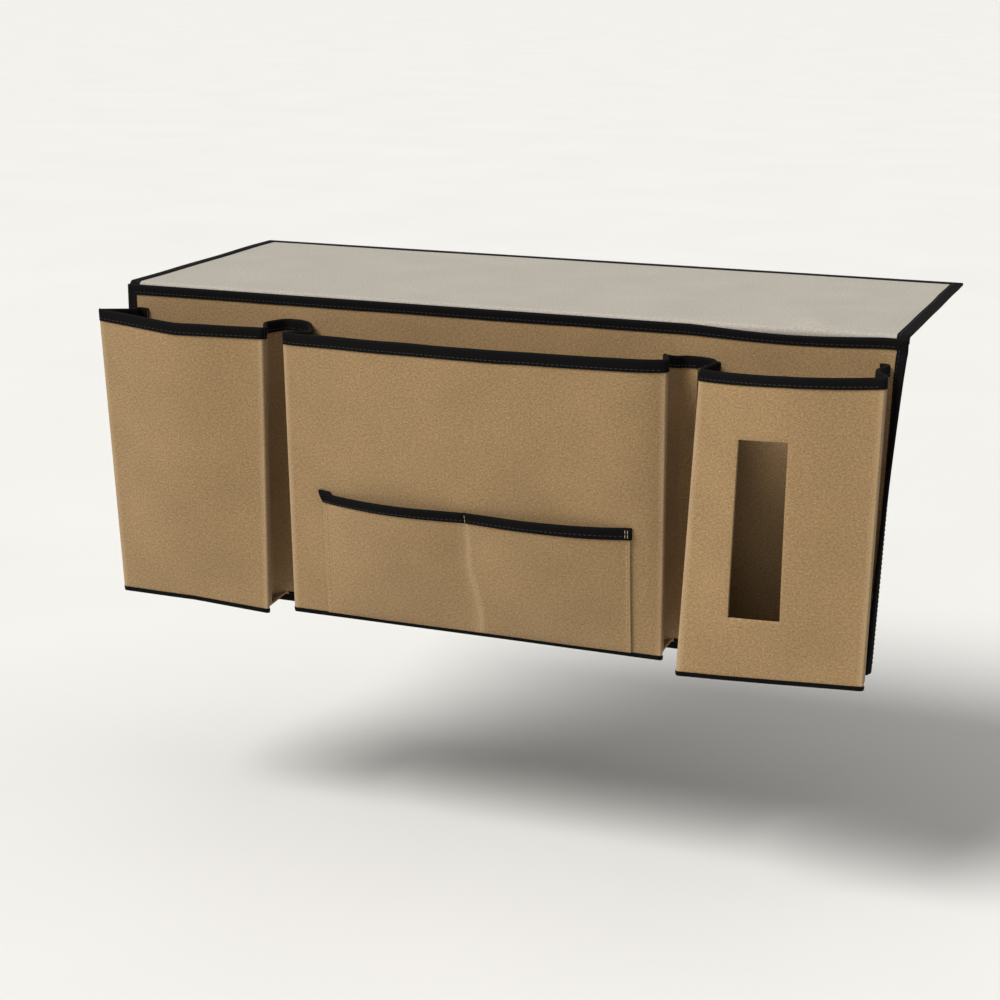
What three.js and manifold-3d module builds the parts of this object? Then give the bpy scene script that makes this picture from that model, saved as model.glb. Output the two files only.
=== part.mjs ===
// Bedside caddy: a fabric organizer that hangs down a bed's side from a flap tucked under the mattress.
// Millimetres, +Z up. Seen from the pockets' side, +X is to the right and +Y goes in towards the bed.
// The origin is the middle of the tuck flap's underside, the face that lies on the bed.
import * as THREE from "three";
import { mergeVertices } from "three/addons/utils/BufferGeometryUtils.js";
import Module from "manifold-3d";

const wasm = await Module();
wasm.setup();

// Cloth, tape and seams
const pressedEdge = 0.6; // cloth squeezed flat inside a bound edge
const tapeThickness = 0.6; // one layer of binding tape
const tapeSlack = 0.1; // room between the tape and the cloth inside it
const tapeWidth = 9; // tape that shows on each face of a bound edge
const footTapeWidth = 3; // the same along the foot of a pocket front
const seamGap = 0.3; // room between two pieces that are sewn together
const seamLap = 4; // straight stretch of a gusset behind its front seam
const flangeWidth = 8; // strip of an outer gusset that is sewn flat on the back panel

// Pocket fronts, from left to right
const leftWidth = 135;
const centreWidth = 300;
const rightWidth = 135;
const valley = 20; // gap between neighbouring fronts
const sideMargin = 5; // back panel beyond the outer fronts
const frontHeight = 225;
const frontDrop = 18; // from the back panel's top edge down to the pocket mouths
const backTail = 5; // back panel below the fronts

// Pocket depths, from the back panel's face to the outside of the front
const leftMouthDepth = 46;
const leftFootDepth = 40;
const centreMouthDepth = 51;
const centreFootDepth = 40;
const rightMouthDepth = 52;
const rightFootDepth = 64;
const pleatDepth = 9; // how far a gusset's middle crease folds into the pocket

// Lean of the outer fronts' left edges: how far the mouth is shifted along X, and the foot the other way
const leftLean = -4.8;
const rightLean = 4;

// Bow of each front: how far its mouth stands out beyond its upright edges
const leftBow = 9;
const centreBow = 11;
const rightBow = 11;
const bowSpread = 1.3; // power that shapes the bow across the front
const bowGrowth = 3; // power by which the bow fills out from the foot upwards
const frontSteps = 12;
const frontLevels = 8;

// Slot in the right front that tissues are drawn through
const slotWidth = 37;
const slotHeight = 130;
const slotInset = 35; // from the middle of the front's left edge
const slotDrop = 47.5; // from the front's top edge

// Patch pocket on the centre front, sewn down its middle into two compartments
const patchLeftMargin = 31; // from the front's left edge to the patch's
const patchRightMargin = 25; // the same on the right
const patchHeight = 99; // from the front's bottom edge to the patch's top edge
const patchBulge = 9; // slack of each compartment at its mouth
const patchTaper = 0.6; // power by which the slack dies away towards the foot
const patchCompartments = 2;
const stepsPerCompartment = 8;
const patchLevels = 6;

// Tuck flap
const flapDepth = 250;

// Finishes
const tanFelt = { color: 0x9d825b, roughness: 0.95, metalness: 0 };
const greyFelt = { color: 0x9a948a, roughness: 0.95, metalness: 0 };
const blackTape = { color: 0x1d1b1a, roughness: 0.8, metalness: 0 };

// Worked out from the sizes above
const fabric = pressedEdge + 2 * (tapeSlack + tapeThickness); // cloth lies flush with its bound edges
const pressInset = tapeThickness + tapeSlack; // from a bound edge's outside to the pressed cloth
const shoulder = tapeWidth + seamGap; // from a bound edge to where the cloth is at full thickness
const footShoulder = footTapeWidth + seamGap; // the same at the foot of a pocket front
const panelWidth = 2 * sideMargin + leftWidth + centreWidth + rightWidth + 2 * valley;
const panelHeight = frontDrop + frontHeight + backTail;
const panelLeft = -panelWidth / 2;
const panelRight = panelWidth / 2;
const flapFront = -flapDepth / 2;
const flapRear = flapDepth / 2;
const foldY = flapFront - seamGap; // fold line, on the back panel's rear face
const backFace = foldY - fabric; // front face of the back panel
const mouthZ = -frontDrop;
const footZ = mouthZ - frontHeight;
const floorZ = footZ + footShoulder + fabric; // upper face of the pocket floors

const leftPocket = {
  name: "left",
  x0: panelLeft + sideMargin,
  width: leftWidth,
  mouthDepth: leftMouthDepth,
  footDepth: leftFootDepth,
  lean: leftLean,
  bow: leftBow,
  outerSide: -1,
};
const centrePocket = {
  name: "centre",
  x0: leftPocket.x0 + leftWidth + valley,
  width: centreWidth,
  mouthDepth: centreMouthDepth,
  footDepth: centreFootDepth,
  lean: 0,
  bow: centreBow,
  outerSide: 0,
};
const rightPocket = {
  name: "right",
  x0: centrePocket.x0 + centreWidth + valley,
  width: rightWidth,
  mouthDepth: rightMouthDepth,
  footDepth: rightFootDepth,
  lean: rightLean,
  bow: rightBow,
  outerSide: 1,
};

const axes = {
  x: new THREE.Vector3(1, 0, 0),
  y: new THREE.Vector3(0, 1, 0),
  z: new THREE.Vector3(0, 0, 1),
};

// Extrudes a closed profile along one axis. Its points are in (y, z), (z, x) or (x, y) in that order.
function extrude(profile, axis, from, to) {
  const { x, y, z } = axes;
  const basis = { x: [y, z, x], y: [z, x, y], z: [x, y, z] }[axis];
  const shape = new THREE.Shape(profile.map(([u, v]) => new THREE.Vector2(u, v)));
  const geometry = new THREE.ExtrudeGeometry(shape, { depth: to - from, bevelEnabled: false });
  geometry.applyMatrix4(new THREE.Matrix4().makeBasis(...basis));
  return geometry.translate(...axes[axis].clone().multiplyScalar(from).toArray());
}

// Closed solid through plan outlines of equal point count, each at its own height.
// The ends are closed by rungs from one long side of the outline to the other.
function loft(sections) {
  const count = sections[0].outline.length;
  const turned = THREE.ShapeUtils.area(sections[0].outline) < 0;
  const outlines = sections.map(({ outline }) => (turned ? [...outline].reverse() : outline));
  const positions = outlines.flatMap((outline, i) => outline.flatMap((p) => [p.x, p.y, sections[i].z]));
  const triangles = [];
  for (let level = 0; level < sections.length - 1; level += 1) {
    for (let k = 0; k < count; k += 1) {
      const a = level * count + k;
      const b = level * count + ((k + 1) % count);
      triangles.push(a, b, b + count, a, b + count, a + count);
    }
  }
  const top = (sections.length - 1) * count;
  for (let k = 0; k < count / 2 - 1; k += 1) {
    const [a, b, c, d] = [k, k + 1, count - 2 - k, count - 1 - k];
    triangles.push(a, c, b, a, d, c, top + a, top + b, top + c, top + a, top + c, top + d);
  }
  const geometry = new THREE.BufferGeometry();
  geometry.setAttribute("position", new THREE.Float32BufferAttribute(positions, 3));
  geometry.setIndex(triangles);
  geometry.computeVertexNormals();
  return geometry;
}

// Plan outline of a strip of cloth that stands on edge along an open line of points.
function stripOutline(line, thickness) {
  const heading = (i) => line[i + 1].clone().sub(line[i]).normalize();
  const side = (sign) =>
    line.map((point, i) => {
      const before = heading(Math.max(i - 1, 0));
      const after = heading(Math.min(i, line.length - 2));
      const mitre = before.clone().add(after).normalize();
      const reach = (sign * thickness) / 2 / mitre.dot(before);
      return new THREE.Vector2(point.x - mitre.y * reach, point.y + mitre.x * reach);
    });
  return [...side(1), ...side(-1).reverse()];
}

// Standing strip between the given heights, along a line that may lean with the height.
function strip(lineAt, thickness, heights) {
  return loft(heights.map((z) => ({ z, outline: stripOutline(lineAt(z), thickness) })));
}

// The same line, longer at both ends by the given reach.
function lengthen(line, reach) {
  const stretch = (end, next) => end.clone().add(end.clone().sub(next).setLength(reach));
  return [stretch(line[0], line[1]), ...line.slice(1, -1), stretch(line.at(-1), line.at(-2))];
}

// Evenly spaced values from low to high, both included.
function spaced(low, high, steps) {
  const count = Math.round(steps);
  return Array.from({ length: count + 1 }, (_, i) => low + ((high - low) * i) / count);
}

function toSolid(geometry) {
  const bare = geometry.clone();
  bare.deleteAttribute("normal");
  bare.deleteAttribute("uv");
  const merged = mergeVertices(bare);
  const vertProperties = merged.attributes.position.array;
  const triVerts = new Uint32Array(merged.index.array);
  return new wasm.Manifold(new wasm.Mesh({ numProp: 3, vertProperties, triVerts }));
}

function toGeometry(solid) {
  const mesh = solid.getMesh();
  const geometry = new THREE.BufferGeometry();
  geometry.setAttribute("position", new THREE.Float32BufferAttribute(mesh.vertProperties, 3));
  geometry.setIndex(Array.from(mesh.triVerts));
  geometry.computeVertexNormals();
  return geometry;
}

function join(first, second) {
  return toGeometry(toSolid(first).add(toSolid(second)));
}

function cut(body, tool) {
  return toGeometry(toSolid(body).subtract(toSolid(tool)));
}

// Binding tape folded over an edge: [across the cloth, in from the edge].
const tapeProfile = [
  [0, 0],
  [0, tapeWidth],
  [tapeThickness, tapeWidth],
  [tapeThickness, tapeThickness],
  [fabric - tapeThickness, tapeThickness],
  [fabric - tapeThickness, tapeWidth],
  [fabric, tapeWidth],
  [fabric, 0],
];

// Flat panel in (u, v), pressed thin along its bound edges; w is its thickness.
function pressedPanel([u0, u1], [v0, v1], bound) {
  const rectangle = (inset) => {
    const left = u0 + (bound.left ? inset : 0);
    const right = u1 - (bound.right ? inset : 0);
    const low = v0 + (bound.low ? inset : 0);
    const high = v1 - (bound.high ? inset : 0);
    return [[left, low], [right, low], [right, high], [left, high]];
  };
  const full = extrude(rectangle(shoulder), "z", 0, fabric);
  const pressed = extrude(rectangle(pressInset), "z", pressInset, fabric - pressInset);
  return join(full, pressed);
}

// Height on a front, from 0 at its foot to 1 at its mouth.
function rise(z) {
  return (z - footZ) / frontHeight;
}

// Left or right upright edge of a front, of which the left one may lean sideways.
function edgeX(pocket, side, z) {
  return side < 0 ? pocket.x0 + pocket.lean * (2 * rise(z) - 1) : pocket.x0 + pocket.width;
}

// Outer face of a front along its upright edges, which lean in or out.
function edgeY(pocket, z) {
  return backFace - THREE.MathUtils.lerp(pocket.footDepth, pocket.mouthDepth, rise(z));
}

// Outer face of a front anywhere: it bows out between those edges, most at the mouth.
// The place across runs from 0 at the left edge to 1 at the right one.
function faceY(pocket, across, z) {
  const spread = Math.sin(Math.PI * across) ** bowSpread;
  return edgeY(pocket, z) - pocket.bow * spread * (1 - (1 - rise(z)) ** bowGrowth);
}

// Plan line along the middle of a front's cloth.
function frontLine(pocket, z) {
  return spaced(0, 1, frontSteps).map((across) => {
    const x = THREE.MathUtils.lerp(edgeX(pocket, -1, z), edgeX(pocket, 1, z), across);
    return new THREE.Vector2(x, faceY(pocket, across, z) + fabric / 2);
  });
}

// Where a gusset's outside meets the back panel: inside the side tape, or behind the front's edge.
function gussetRoot(pocket, side) {
  if (side === pocket.outerSide) return side < 0 ? panelLeft + shoulder : panelRight - shoulder;
  return side < 0 ? pocket.x0 : pocket.x0 + pocket.width;
}

// Plan line of a gusset: front seam, inward crease, back seam, and the flange on the back panel.
function gussetLine(pocket, side, z) {
  const edge = edgeX(pocket, side, z) - (side * fabric) / 2;
  const root = gussetRoot(pocket, side) - (side * fabric) / 2;
  const front = edgeY(pocket, z) + fabric + seamGap;
  const rear = backFace - seamGap - fabric / 2;
  const crease = (edge + root) / 2 - side * pleatDepth;
  const valleyReach = fabric / 2 + valley / 2 - seamGap;
  const flange = side === pocket.outerSide ? -side * flangeWidth : side * valleyReach;
  return [
    new THREE.Vector2(edge, front),
    new THREE.Vector2(edge, front + seamLap),
    new THREE.Vector2(crease, (front + seamLap + rear) / 2),
    new THREE.Vector2(root, rear),
    new THREE.Vector2(root + flange, rear),
  ];
}

// Standing cloth with its top edge, and its foot if that is bound too, pressed to take a tape.
function boundStrip(lineAt, low, high, steps, footBound) {
  const foot = footBound ? low + footShoulder : low;
  const body = strip(lineAt, fabric, spaced(foot, high - shoulder, steps));
  const shorter = (z) => lengthen(lineAt(z), -tapeSlack);
  const topEdge = strip(shorter, pressedEdge, [high - shoulder - fabric, high - pressInset]);
  const topBound = join(body, topEdge);
  if (!footBound) return topBound;
  return join(topBound, strip(shorter, pressedEdge, [low + pressInset, foot + fabric]));
}

// Tape folded over such an edge; inward is +1 up from a foot and -1 down from a top edge.
function stripTape(lineAt, edge, inward, width) {
  const between = (near, far) => [edge + inward * near, edge + inward * far].sort((a, b) => a - b);
  const longer = (z) => lengthen(lineAt(z), tapeThickness);
  const outside = strip(lineAt, fabric, between(0, width));
  const room = strip(longer, fabric - 2 * tapeThickness, between(tapeThickness, width + seamGap));
  return cut(outside, room);
}

function frontPanel(pocket) {
  return boundStrip((z) => frontLine(pocket, z), footZ, mouthZ, frontLevels, true);
}

// The floor's front edge follows the front, its rear edge lies along the back panel.
function pocketFloor(pocket) {
  const rearXs = spaced(gussetRoot(pocket, 1), gussetRoot(pocket, -1), frontSteps);
  const rear = rearXs.map((x) => new THREE.Vector2(x, backFace - seamGap));
  const front = (z) =>
    frontLine(pocket, z).map(({ x, y }) => new THREE.Vector2(x, y + fabric / 2 + seamGap));
  return loft([floorZ - fabric, floorZ].map((z) => ({ z, outline: [...front(z), ...rear] })));
}

// The slot is cut straight through the front, with room to spare on both sides.
function tissueFront(pocket) {
  const [left, right] = [pocket.x0 + slotInset, pocket.x0 + slotInset + slotWidth];
  const [high, low] = [mouthZ - slotDrop, mouthZ - slotDrop - slotHeight];
  const slot = [[low, left], [low, right], [high, right], [high, left]];
  const reach = Math.max(pocket.mouthDepth, pocket.footDepth) + pocket.bow + fabric;
  const tool = extrude(slot, "y", backFace - reach, backFace - fabric);
  return cut(frontPanel(pocket), tool);
}

// Patch pocket: each compartment bulges at its mouth and lies flat along its seams and at its foot.
const patchFoot = footZ + footShoulder;
const patchTop = footZ + patchHeight;

function patchLine(z) {
  const open = Math.max(z - patchFoot, 0) / (patchTop - patchFoot);
  const bulge = patchBulge * open ** patchTaper;
  const width = centrePocket.width - patchLeftMargin - patchRightMargin;
  return spaced(0, 1, patchCompartments * stepsPerCompartment).map((along) => {
    const inward = patchLeftMargin + width * along;
    const lobe = Math.abs(Math.sin(Math.PI * patchCompartments * along));
    const y = faceY(centrePocket, inward / centrePocket.width, z) - seamGap - fabric / 2 - bulge * lobe;
    return new THREE.Vector2(centrePocket.x0 + inward, y);
  });
}

const caddy = new THREE.Group();

function addPiece(group, name, geometry, finish) {
  const mesh = new THREE.Mesh(geometry, new THREE.MeshStandardMaterial(finish));
  mesh.name = name;
  group.add(mesh);
}

function addTuckFlap() {
  const flap = new THREE.Group();
  const bound = { left: true, right: true, low: false, high: true };
  const side = (edge, inward) => tapeProfile.map(([across, depth]) => [across, edge + inward * depth]);
  const sideEnd = flapRear - shoulder;
  const rear = tapeProfile.map(([across, depth]) => [flapRear - depth, across]);
  addPiece(flap, "tuck_flap", pressedPanel([panelLeft, panelRight], [flapFront, flapRear], bound), greyFelt);
  addPiece(flap, "flap_left_binding", extrude(side(panelLeft, 1), "y", flapFront, sideEnd), blackTape);
  addPiece(flap, "flap_right_binding", extrude(side(panelRight, -1), "y", flapFront, sideEnd), blackTape);
  addPiece(flap, "flap_rear_binding", extrude(rear, "x", panelLeft, panelRight), blackTape);
  caddy.add(flap);
}

function addBackPanel() {
  const back = new THREE.Group();
  const bound = { left: true, right: true, low: true, high: true };
  const panel = pressedPanel([panelLeft, panelRight], [-panelHeight, 0], bound);
  panel.rotateX(Math.PI / 2).translate(0, foldY, 0);
  const level = (edge, up) => tapeProfile.map(([across, depth]) => [backFace + across, edge + up * depth]);
  const upright = (edge, inward) =>
    tapeProfile.map(([across, depth]) => [edge + inward * depth, backFace + across]);
  const [low, high] = [-panelHeight + shoulder, -shoulder];
  const levelTape = (edge, up) => extrude(level(edge, up), "x", panelLeft, panelRight);
  addPiece(back, "back_panel", panel, tanFelt);
  addPiece(back, "back_top_binding", levelTape(0, -1), blackTape);
  addPiece(back, "back_bottom_binding", levelTape(-panelHeight, 1), blackTape);
  addPiece(back, "back_left_binding", extrude(upright(panelLeft, 1), "z", low, high), blackTape);
  addPiece(back, "back_right_binding", extrude(upright(panelRight, -1), "z", low, high), blackTape);
  caddy.add(back);
}

function addPocket(pocket, front) {
  const group = new THREE.Group();
  const name = (piece) => `${pocket.name}_${piece}`;
  const lineAt = (z) => frontLine(pocket, z);
  addPiece(group, name("pocket_front"), front, tanFelt);
  addPiece(group, name("mouth_binding"), stripTape(lineAt, mouthZ, -1, tapeWidth), blackTape);
  addPiece(group, name("foot_binding"), stripTape(lineAt, footZ, 1, footTapeWidth), blackTape);
  addPiece(group, name("pocket_floor"), pocketFloor(pocket), tanFelt);
  for (const [side, word] of [[-1, "left"], [1, "right"]]) {
    const pleat = (z) => gussetLine(pocket, side, z);
    const gusset = boundStrip(pleat, floorZ + seamGap, mouthZ, 1, false);
    addPiece(group, name(`${word}_gusset`), gusset, tanFelt);
    addPiece(group, name(`${word}_gusset_binding`), stripTape(pleat, mouthZ, -1, tapeWidth), blackTape);
  }
  caddy.add(group);
}

function addPatchPocket() {
  const patch = new THREE.Group();
  const cloth = boundStrip(patchLine, patchFoot, patchTop, patchLevels, false);
  addPiece(patch, "patch_pocket", cloth, tanFelt);
  addPiece(patch, "patch_binding", stripTape(patchLine, patchTop, -1, tapeWidth), blackTape);
  caddy.add(patch);
}

addTuckFlap();
addBackPanel();
addPocket(leftPocket, frontPanel(leftPocket));
addPocket(centrePocket, frontPanel(centrePocket));
addPocket(rightPocket, tissueFront(rightPocket));
addPatchPocket();

export default caddy;
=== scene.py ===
import math

import bpy
from mathutils import Matrix, Vector, noise


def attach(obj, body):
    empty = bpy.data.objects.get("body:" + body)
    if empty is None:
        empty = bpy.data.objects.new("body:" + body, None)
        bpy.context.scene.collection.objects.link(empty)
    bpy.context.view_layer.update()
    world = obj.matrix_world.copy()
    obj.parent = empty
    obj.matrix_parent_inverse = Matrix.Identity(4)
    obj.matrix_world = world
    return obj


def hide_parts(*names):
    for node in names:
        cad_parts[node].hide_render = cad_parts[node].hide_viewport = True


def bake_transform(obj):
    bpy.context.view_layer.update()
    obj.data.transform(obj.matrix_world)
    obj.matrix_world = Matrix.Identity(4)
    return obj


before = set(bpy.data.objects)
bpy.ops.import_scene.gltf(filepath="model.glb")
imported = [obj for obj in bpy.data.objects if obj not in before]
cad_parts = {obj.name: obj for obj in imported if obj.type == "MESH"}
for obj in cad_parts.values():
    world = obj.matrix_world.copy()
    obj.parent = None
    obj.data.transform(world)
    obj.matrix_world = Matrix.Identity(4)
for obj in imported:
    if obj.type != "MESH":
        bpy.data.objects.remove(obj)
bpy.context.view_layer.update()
mm = 0.001  # the frame is in metres, the sizes below are in millimetres
print("frame loaded:", len(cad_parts), "nodes")


def deselectAll():
    bpy.ops.object.select_all(action="DESELECT")


def lerp(low, high, share):
    return low + (high - low) * share


def clamped(share):
    return min(1, max(0, share))


def eased(share):
    share = clamped(share)
    return share * share * (3 - 2 * share)


# 1 at no distance, and nearly nothing two reaches away
def hump(distance, reach):
    return math.exp(-((distance / reach) ** 2))


def spaced(low, high, step):
    count = max(1, round(abs(high - low) / step))
    return [lerp(low, high, i / count) for i in range(count + 1)]


seedGap = 7.31  # sets the noise of one seed apart from the next


def ripple(a, b, seed):
    return noise.noise(Vector((a, b, seed * seedGap)))


# Finishes: sRGB hex to linear
def linear(hexColour):
    channels = [int(hexColour[i:i + 2], 16) / 255 for i in (1, 3, 5)]
    return (*[c / 12.92 if c <= 0.04045 else ((c + 0.055) / 1.055) ** 2.4 for c in channels], 1)


def addNode(tree, kind, settings=None, links=None):
    node = tree.nodes.new(kind)
    for key, value in (settings or {}).items():
        setattr(node, key, value)
    for key, value in (links or {}).items():
        if isinstance(value, bpy.types.NodeSocket):
            tree.links.new(value, node.inputs[key])
        else:
            node.inputs[key].default_value = value
    return node


def newMaterial(name, gloss):
    material = bpy.data.materials.new(name)
    material.use_nodes = True
    shader = material.node_tree.nodes["Principled BSDF"]
    for key, value in gloss.items():
        shader.inputs[key].default_value = value
    return material, material.node_tree, shader


# Point-bonded polypropylene felt: matted fibres with no gloss, a fine speckle of paler and darker ones,
# faint clouds where the web is thinner, and rows of tiny pressed dots. A paler colour is painted along its
# folds and edges: handling wear, and a painted highlight where they catch the light.
felt = {
    "speckle": 1.5, "fibre": 3.2, "dots": 1.9,  # drawn coarse enough to show
    "fibreTurns": (0.5, -0.9), "fibreStretch": 6, "fibreShare": 0.4,
    "tones": {"dark": 0.34, "base": 0.52, "pale": 0.7}, "cloudEdges": (0.3, 0.7),
    "dotEdges": (0.35, 0.9), "dotDepth": 0.5, "bump": 0.35, "bumpStrength": 0.55,
    "gloss": {"Roughness": 0.95, "Specular IOR Level": 0.18, "Sheen Weight": 0.12, "Sheen Roughness": 0.6},
}


def feltMaterial(name, look):
    material, tree, shader = newMaterial(name, felt["gloss"])
    cut = addNode(tree, "ShaderNodeUVMap", {"uv_map": "cut"}).outputs[0]
    speckle = addNode(tree, "ShaderNodeTexNoise", None, {
        "Vector": cut, "Scale": 1 / (felt["speckle"] * mm), "Detail": 3, "Roughness": 0.7})
    fibres = []
    for turn in felt["fibreTurns"]:
        laid = addNode(tree, "ShaderNodeMapping", None, {
            "Vector": cut, "Rotation": (0, 0, turn), "Scale": (1, felt["fibreStretch"], 1)})
        fibres.append(addNode(tree, "ShaderNodeTexNoise", None, {
            "Vector": laid.outputs[0], "Scale": 1 / (felt["fibre"] * mm), "Detail": 2, "Roughness": 0.6}))
    web = addNode(tree, "ShaderNodeMath", {"operation": "MAXIMUM"}, {
        0: fibres[0].outputs[0], 1: fibres[1].outputs[0]})
    matted = addNode(tree, "ShaderNodeMix", None, {
        0: felt["fibreShare"], 2: speckle.outputs[0], 3: web.outputs[0]})
    tones = addNode(tree, "ShaderNodeValToRGB", None, {0: matted.outputs[0]})
    for stop, tone in zip(tones.color_ramp.elements, ("dark", "pale")):
        stop.position = felt["tones"][tone]
        stop.color = linear(look[tone])
    middle = tones.color_ramp.elements.new(felt["tones"]["base"])
    middle.color = linear(look["base"])
    cloud = addNode(tree, "ShaderNodeTexNoise", None, {
        "Vector": cut, "Scale": 1 / (look["cloud"] * mm), "Detail": 2})
    thin, thick = felt["cloudEdges"]
    cloudTone = addNode(tree, "ShaderNodeMapRange", None, {
        0: cloud.outputs[0], 1: thin, 2: thick, 3: 1 - look["clouding"], 4: 1 + look["clouding"]})
    clouded = addNode(tree, "ShaderNodeVectorMath", {"operation": "SCALE"}, {
        0: tones.outputs[0], 3: cloudTone.outputs[0]})
    # a paler colour painted where the cloth is marked: a painted highlight on folds and edges, with their
    # wear
    wearAndHighlight = addNode(tree, "ShaderNodeAttribute", {"attribute_name": "wearAndHighlight"})
    wornAndHighlit = addNode(tree, "ShaderNodeMix", {"data_type": "RGBA"}, {
        0: wearAndHighlight.outputs["Fac"], 6: clouded.outputs[0], 7: linear(look["wornAndHighlit"])})
    tree.links.new(wornAndHighlit.outputs[2], shader.inputs["Base Color"])
    # pressed dots, two sine rows across each other
    parts = addNode(tree, "ShaderNodeSeparateXYZ", None, {0: cut})
    waves = []
    for axis in (0, 1):
        angle = addNode(tree, "ShaderNodeMath", {"operation": "MULTIPLY"}, {
            0: parts.outputs[axis], 1: 2 * math.pi / (felt["dots"] * mm)})
        waves.append(addNode(tree, "ShaderNodeMath", {"operation": "SINE"}, {0: angle.outputs[0]}))
    dots = addNode(tree, "ShaderNodeMath", {"operation": "MULTIPLY"}, {
        0: waves[0].outputs[0], 1: waves[1].outputs[0]})
    rimHeight, pitHeight = felt["dotEdges"]
    pressed = addNode(tree, "ShaderNodeMapRange", None, {
        0: dots.outputs[0], 1: rimHeight, 2: pitHeight, 3: 0, 4: -felt["dotDepth"]})
    height = addNode(tree, "ShaderNodeMath", {"operation": "ADD"}, {
        0: matted.outputs[0], 1: pressed.outputs[0]})
    bump = addNode(tree, "ShaderNodeBump", None, {
        "Strength": felt["bumpStrength"], "Distance": felt["bump"] * mm, "Height": height.outputs[0]})
    tree.links.new(bump.outputs[0], shader.inputs["Normal"])
    return material


waveTurn = math.pi / 10  # a Wave texture of this scale has one band in each unit


# Woven polyester binding tape: black yarn with a low satin sheen and fine ribs across its length.
def tapeMaterial(name, look):
    material, tree, shader = newMaterial(name, {
        "Roughness": 0.78, "Specular IOR Level": 0.06, "Sheen Weight": 0.01, "Sheen Roughness": 0.5})
    cut = addNode(tree, "ShaderNodeUVMap", {"uv_map": "cut"}).outputs[0]
    ribs = addNode(tree, "ShaderNodeTexWave", {"bands_direction": "X"}, {
        "Vector": cut, "Scale": waveTurn / (look["rib"] * mm), "Distortion": 0.6, "Detail": 1})
    fuzz = addNode(tree, "ShaderNodeTexNoise", None, {
        "Vector": cut, "Scale": 1 / (look["fuzz"] * mm), "Detail": 3})
    yarn = addNode(tree, "ShaderNodeMix", None, {
        0: look["fuzzShare"], 2: ribs.outputs["Fac"], 3: fuzz.outputs[0]})
    tones = addNode(tree, "ShaderNodeValToRGB", None, {0: yarn.outputs[0]})
    for stop, place, colour in zip(tones.color_ramp.elements, look["stops"], (look["dark"], look["pale"])):
        stop.position = place
        stop.color = linear(colour)
    tree.links.new(tones.outputs[0], shader.inputs["Base Color"])
    bump = addNode(tree, "ShaderNodeBump", None, {
        "Strength": 0.5, "Distance": look["bump"] * mm, "Height": yarn.outputs[0]})
    tree.links.new(bump.outputs[0], shader.inputs["Normal"])
    return material


# Spun polyester sewing thread: two plies twisted, which show as slanting bands.
def threadMaterial(name, look):
    material, tree, shader = newMaterial(name, {
        "Roughness": 0.6, "Specular IOR Level": 0.35, "Sheen Weight": 0.1})
    place = addNode(tree, "ShaderNodeTexCoord").outputs["Object"]
    twist = addNode(tree, "ShaderNodeTexWave", {"bands_direction": "DIAGONAL"}, {
        "Vector": place, "Scale": waveTurn / (look["twist"] * mm)})
    tones = addNode(tree, "ShaderNodeValToRGB", None, {0: twist.outputs["Fac"]})
    for stop, colour in zip(tones.color_ramp.elements, (look["dark"], look["pale"])):
        stop.color = linear(colour)
    tree.links.new(tones.outputs[0], shader.inputs["Base Color"])
    return material


tanFelt = feltMaterial("tan point-bonded felt", {
    "dark": "#6c5535", "base": "#8b704c", "pale": "#a48965", "wornAndHighlit": "#b39c79",
    "cloud": 45, "clouding": 0.05})
greyFelt = feltMaterial("warm grey point-bonded felt", {
    "dark": "#7b766d", "base": "#928c82", "pale": "#a8a298", "wornAndHighlit": "#b6b1a6",
    "cloud": 55, "clouding": 0.04})
blackTape = tapeMaterial("black woven polyester tape", {
    "dark": "#050404", "pale": "#100f0f", "stops": (0.25, 0.8), "rib": 1.0, "fuzz": 1.2, "fuzzShare": 0.5,
    "bump": 0.2})
blackThread = threadMaterial("black spun polyester thread", {
    "dark": "#090808", "pale": "#191818", "twist": 0.7})
tanThread = threadMaterial("tan spun polyester thread", {
    "dark": "#8f7852", "pale": "#c9b48b", "twist": 0.7})
print("finishes made:", len(bpy.data.materials))


# A piece moves with one body; a piece given two bodies stays where it is, its place baked into its mesh
def follow(piece, body):
    if isinstance(body, str):
        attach(piece, body)
    else:
        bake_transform(piece)


def dress(piece, body, node):
    follow(piece, body)
    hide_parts(node)


# Cloth: edgeIn is how far a bound edge stops short of its tape's fold
cloth = {"edgeIn": 0.8, "rim": 0.3, "rimSegments": 2, "rimAngle": 65, "smoothAngle": 50}
edgeIn = cloth["edgeIn"]


# Takes out the faces of a grid whose middles lie in the hole, given in the cut's millimetres
def cutHole(sheet, where, hole):
    (u0, u1), (v0, v1) = hole
    bpy.ops.object.mode_set(mode="EDIT")
    bpy.ops.mesh.select_mode(type="FACE")
    bpy.ops.mesh.select_all(action="DESELECT")
    bpy.ops.object.mode_set(mode="OBJECT")
    for face in sheet.data.polygons:
        u = sum(where[i][0] for i in face.vertices) / len(face.vertices)
        v = sum(where[i][1] for i in face.vertices) / len(face.vertices)
        face.select = u0 < u < u1 and v0 < v < v1
    bpy.ops.object.mode_set(mode="EDIT")
    bpy.ops.mesh.delete(type="FACE")
    bpy.ops.object.mode_set(mode="OBJECT")


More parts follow.
